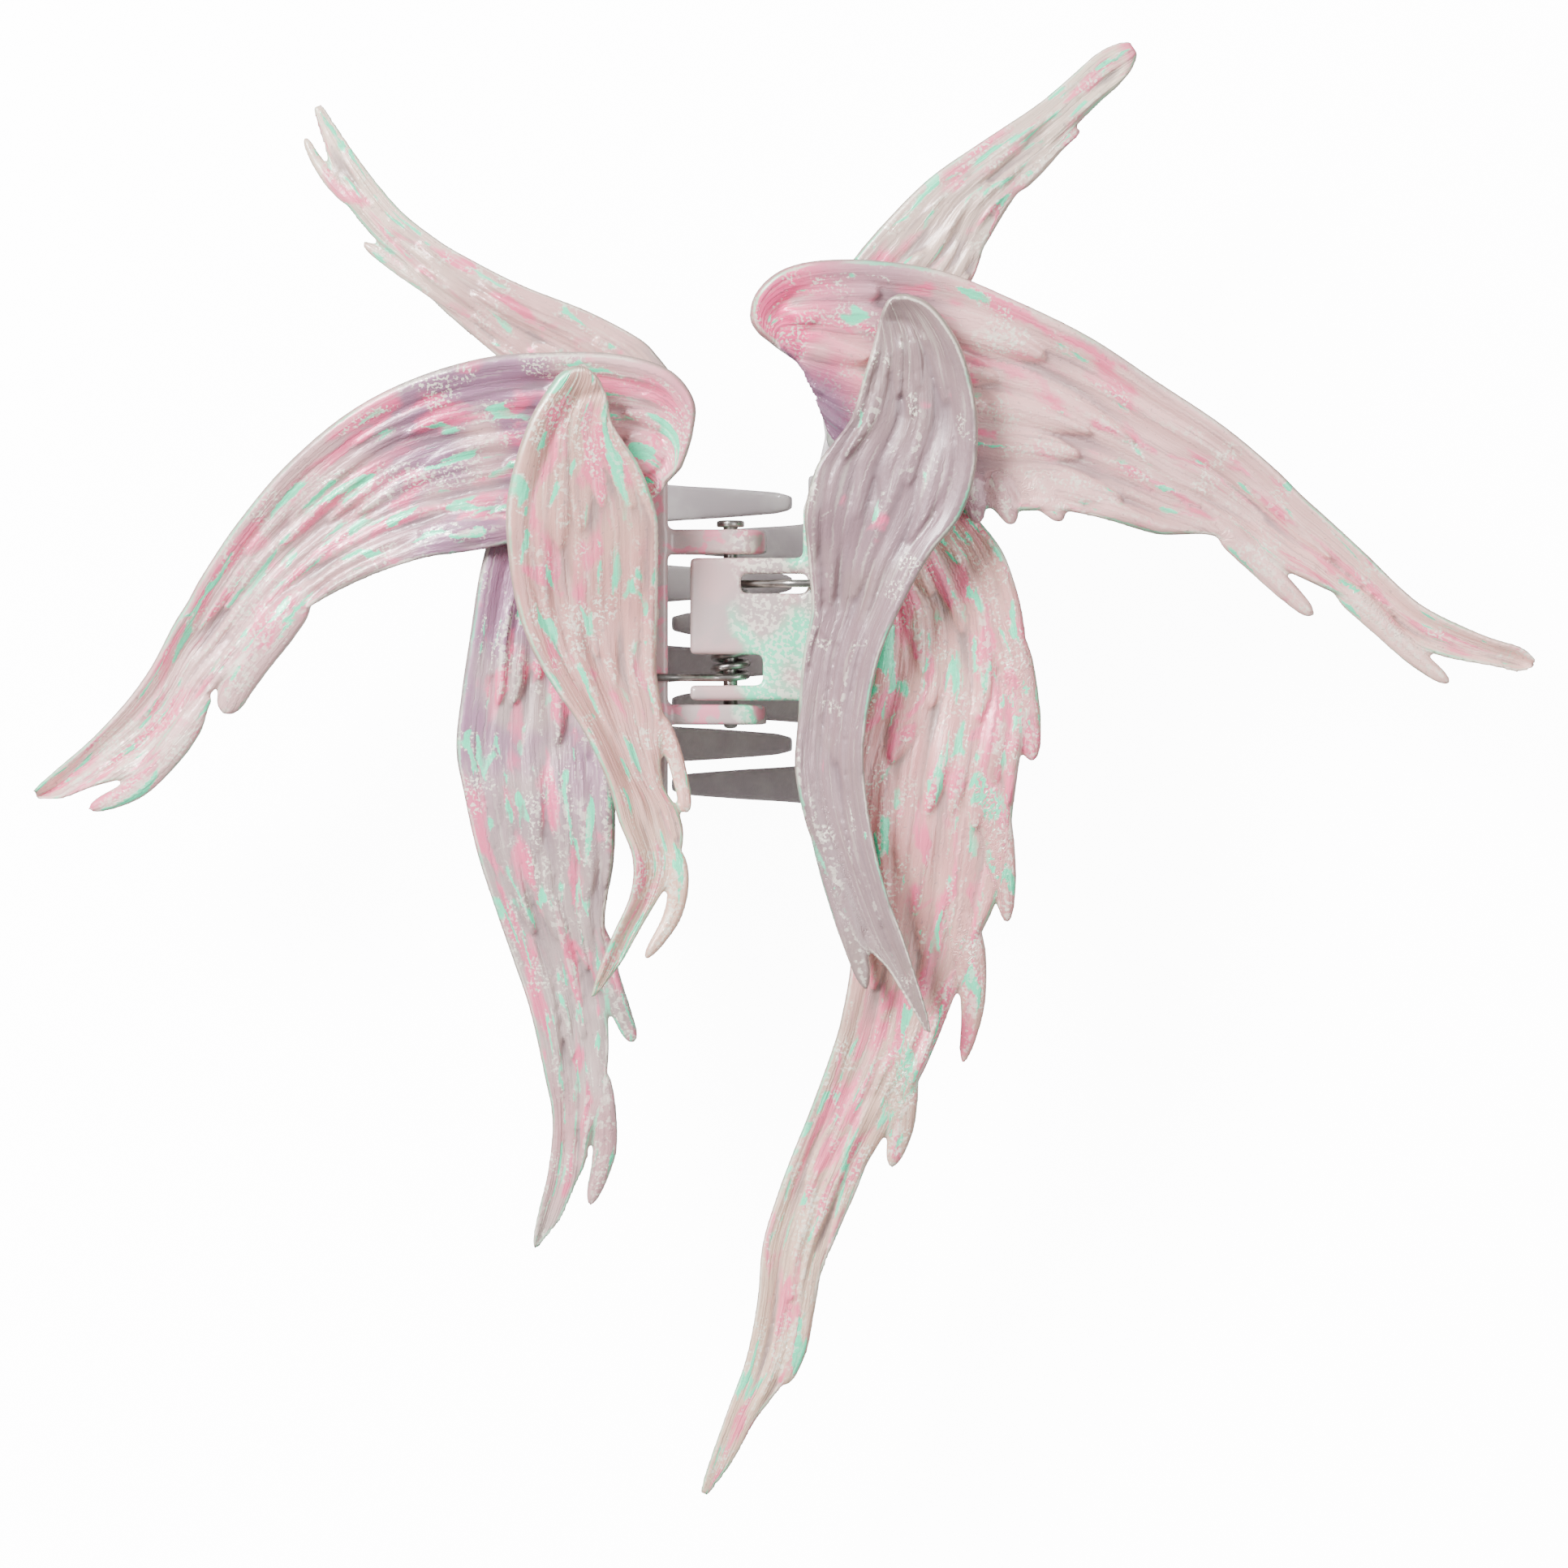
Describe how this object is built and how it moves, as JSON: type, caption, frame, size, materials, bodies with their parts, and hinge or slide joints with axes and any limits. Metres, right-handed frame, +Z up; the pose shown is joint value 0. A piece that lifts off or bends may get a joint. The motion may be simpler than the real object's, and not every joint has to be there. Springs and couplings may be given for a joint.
{
  "type": "winged hair claw",
  "caption": "Sprung hair claw with two interleaved toothed jaws on one hinge pin, each jaw carrying upper, side, front and lower sculpted fairy wings on screws.",
  "frame": {"origin": "middle of the footprint, on the surface that the closed claw rests on with its two bellies", "axes": "+Z up from the bellies to the wings, +Y along the hinge pin towards the upper wings, +X towards the right wings"},
  "size_m": [0.1578, 0.1526, 0.0428],
  "materials": {
    "pearl_plastic": "pearlescent pale pink-grey with mint, pink and lavender shifts and fine glitter",
    "mauve_plastic": "pearl plastic turning dark mauve towards the teeth",
    "spring_steel": "dark drawn spring wire and pin",
    "screw_steel": "plain zinc-plated screw"
  },
  "bodies": {
    "left_half": {"left_jaw": "mauve_plastic", "hinge_pin": "spring_steel", "torsion_spring": "spring_steel", "left_upper_wing": "pearl_plastic", "left_side_wing": "pearl_plastic", "left_front_wing": "pearl_plastic", "left_lower_wing": "pearl_plastic", "left_upper_wing_screw": "screw_steel", "left_side_wing_screw": "screw_steel", "left_front_wing_screw": "screw_steel", "left_lower_wing_screw": "screw_steel"},
    "right_half": {"right_jaw": "mauve_plastic", "right_upper_wing": "pearl_plastic", "right_side_wing": "pearl_plastic", "right_front_wing": "pearl_plastic", "right_lower_wing": "pearl_plastic", "right_upper_wing_screw": "screw_steel", "right_side_wing_screw": "screw_steel", "right_front_wing_screw": "screw_steel", "right_lower_wing_screw": "screw_steel"}
  },
  "joints": [
    {"name": "jaw_hinge", "type": "hinge", "parent": "left_half", "child": "right_half", "pos_m": [-0.00557, 0.01525, 0.027], "axis": [0, -1, 0], "range_deg": [0, 40], "stiffness_Nm_per_rad": 0.12, "springref_deg": -68.75, "deforming": ["torsion_spring"]}
  ]
}
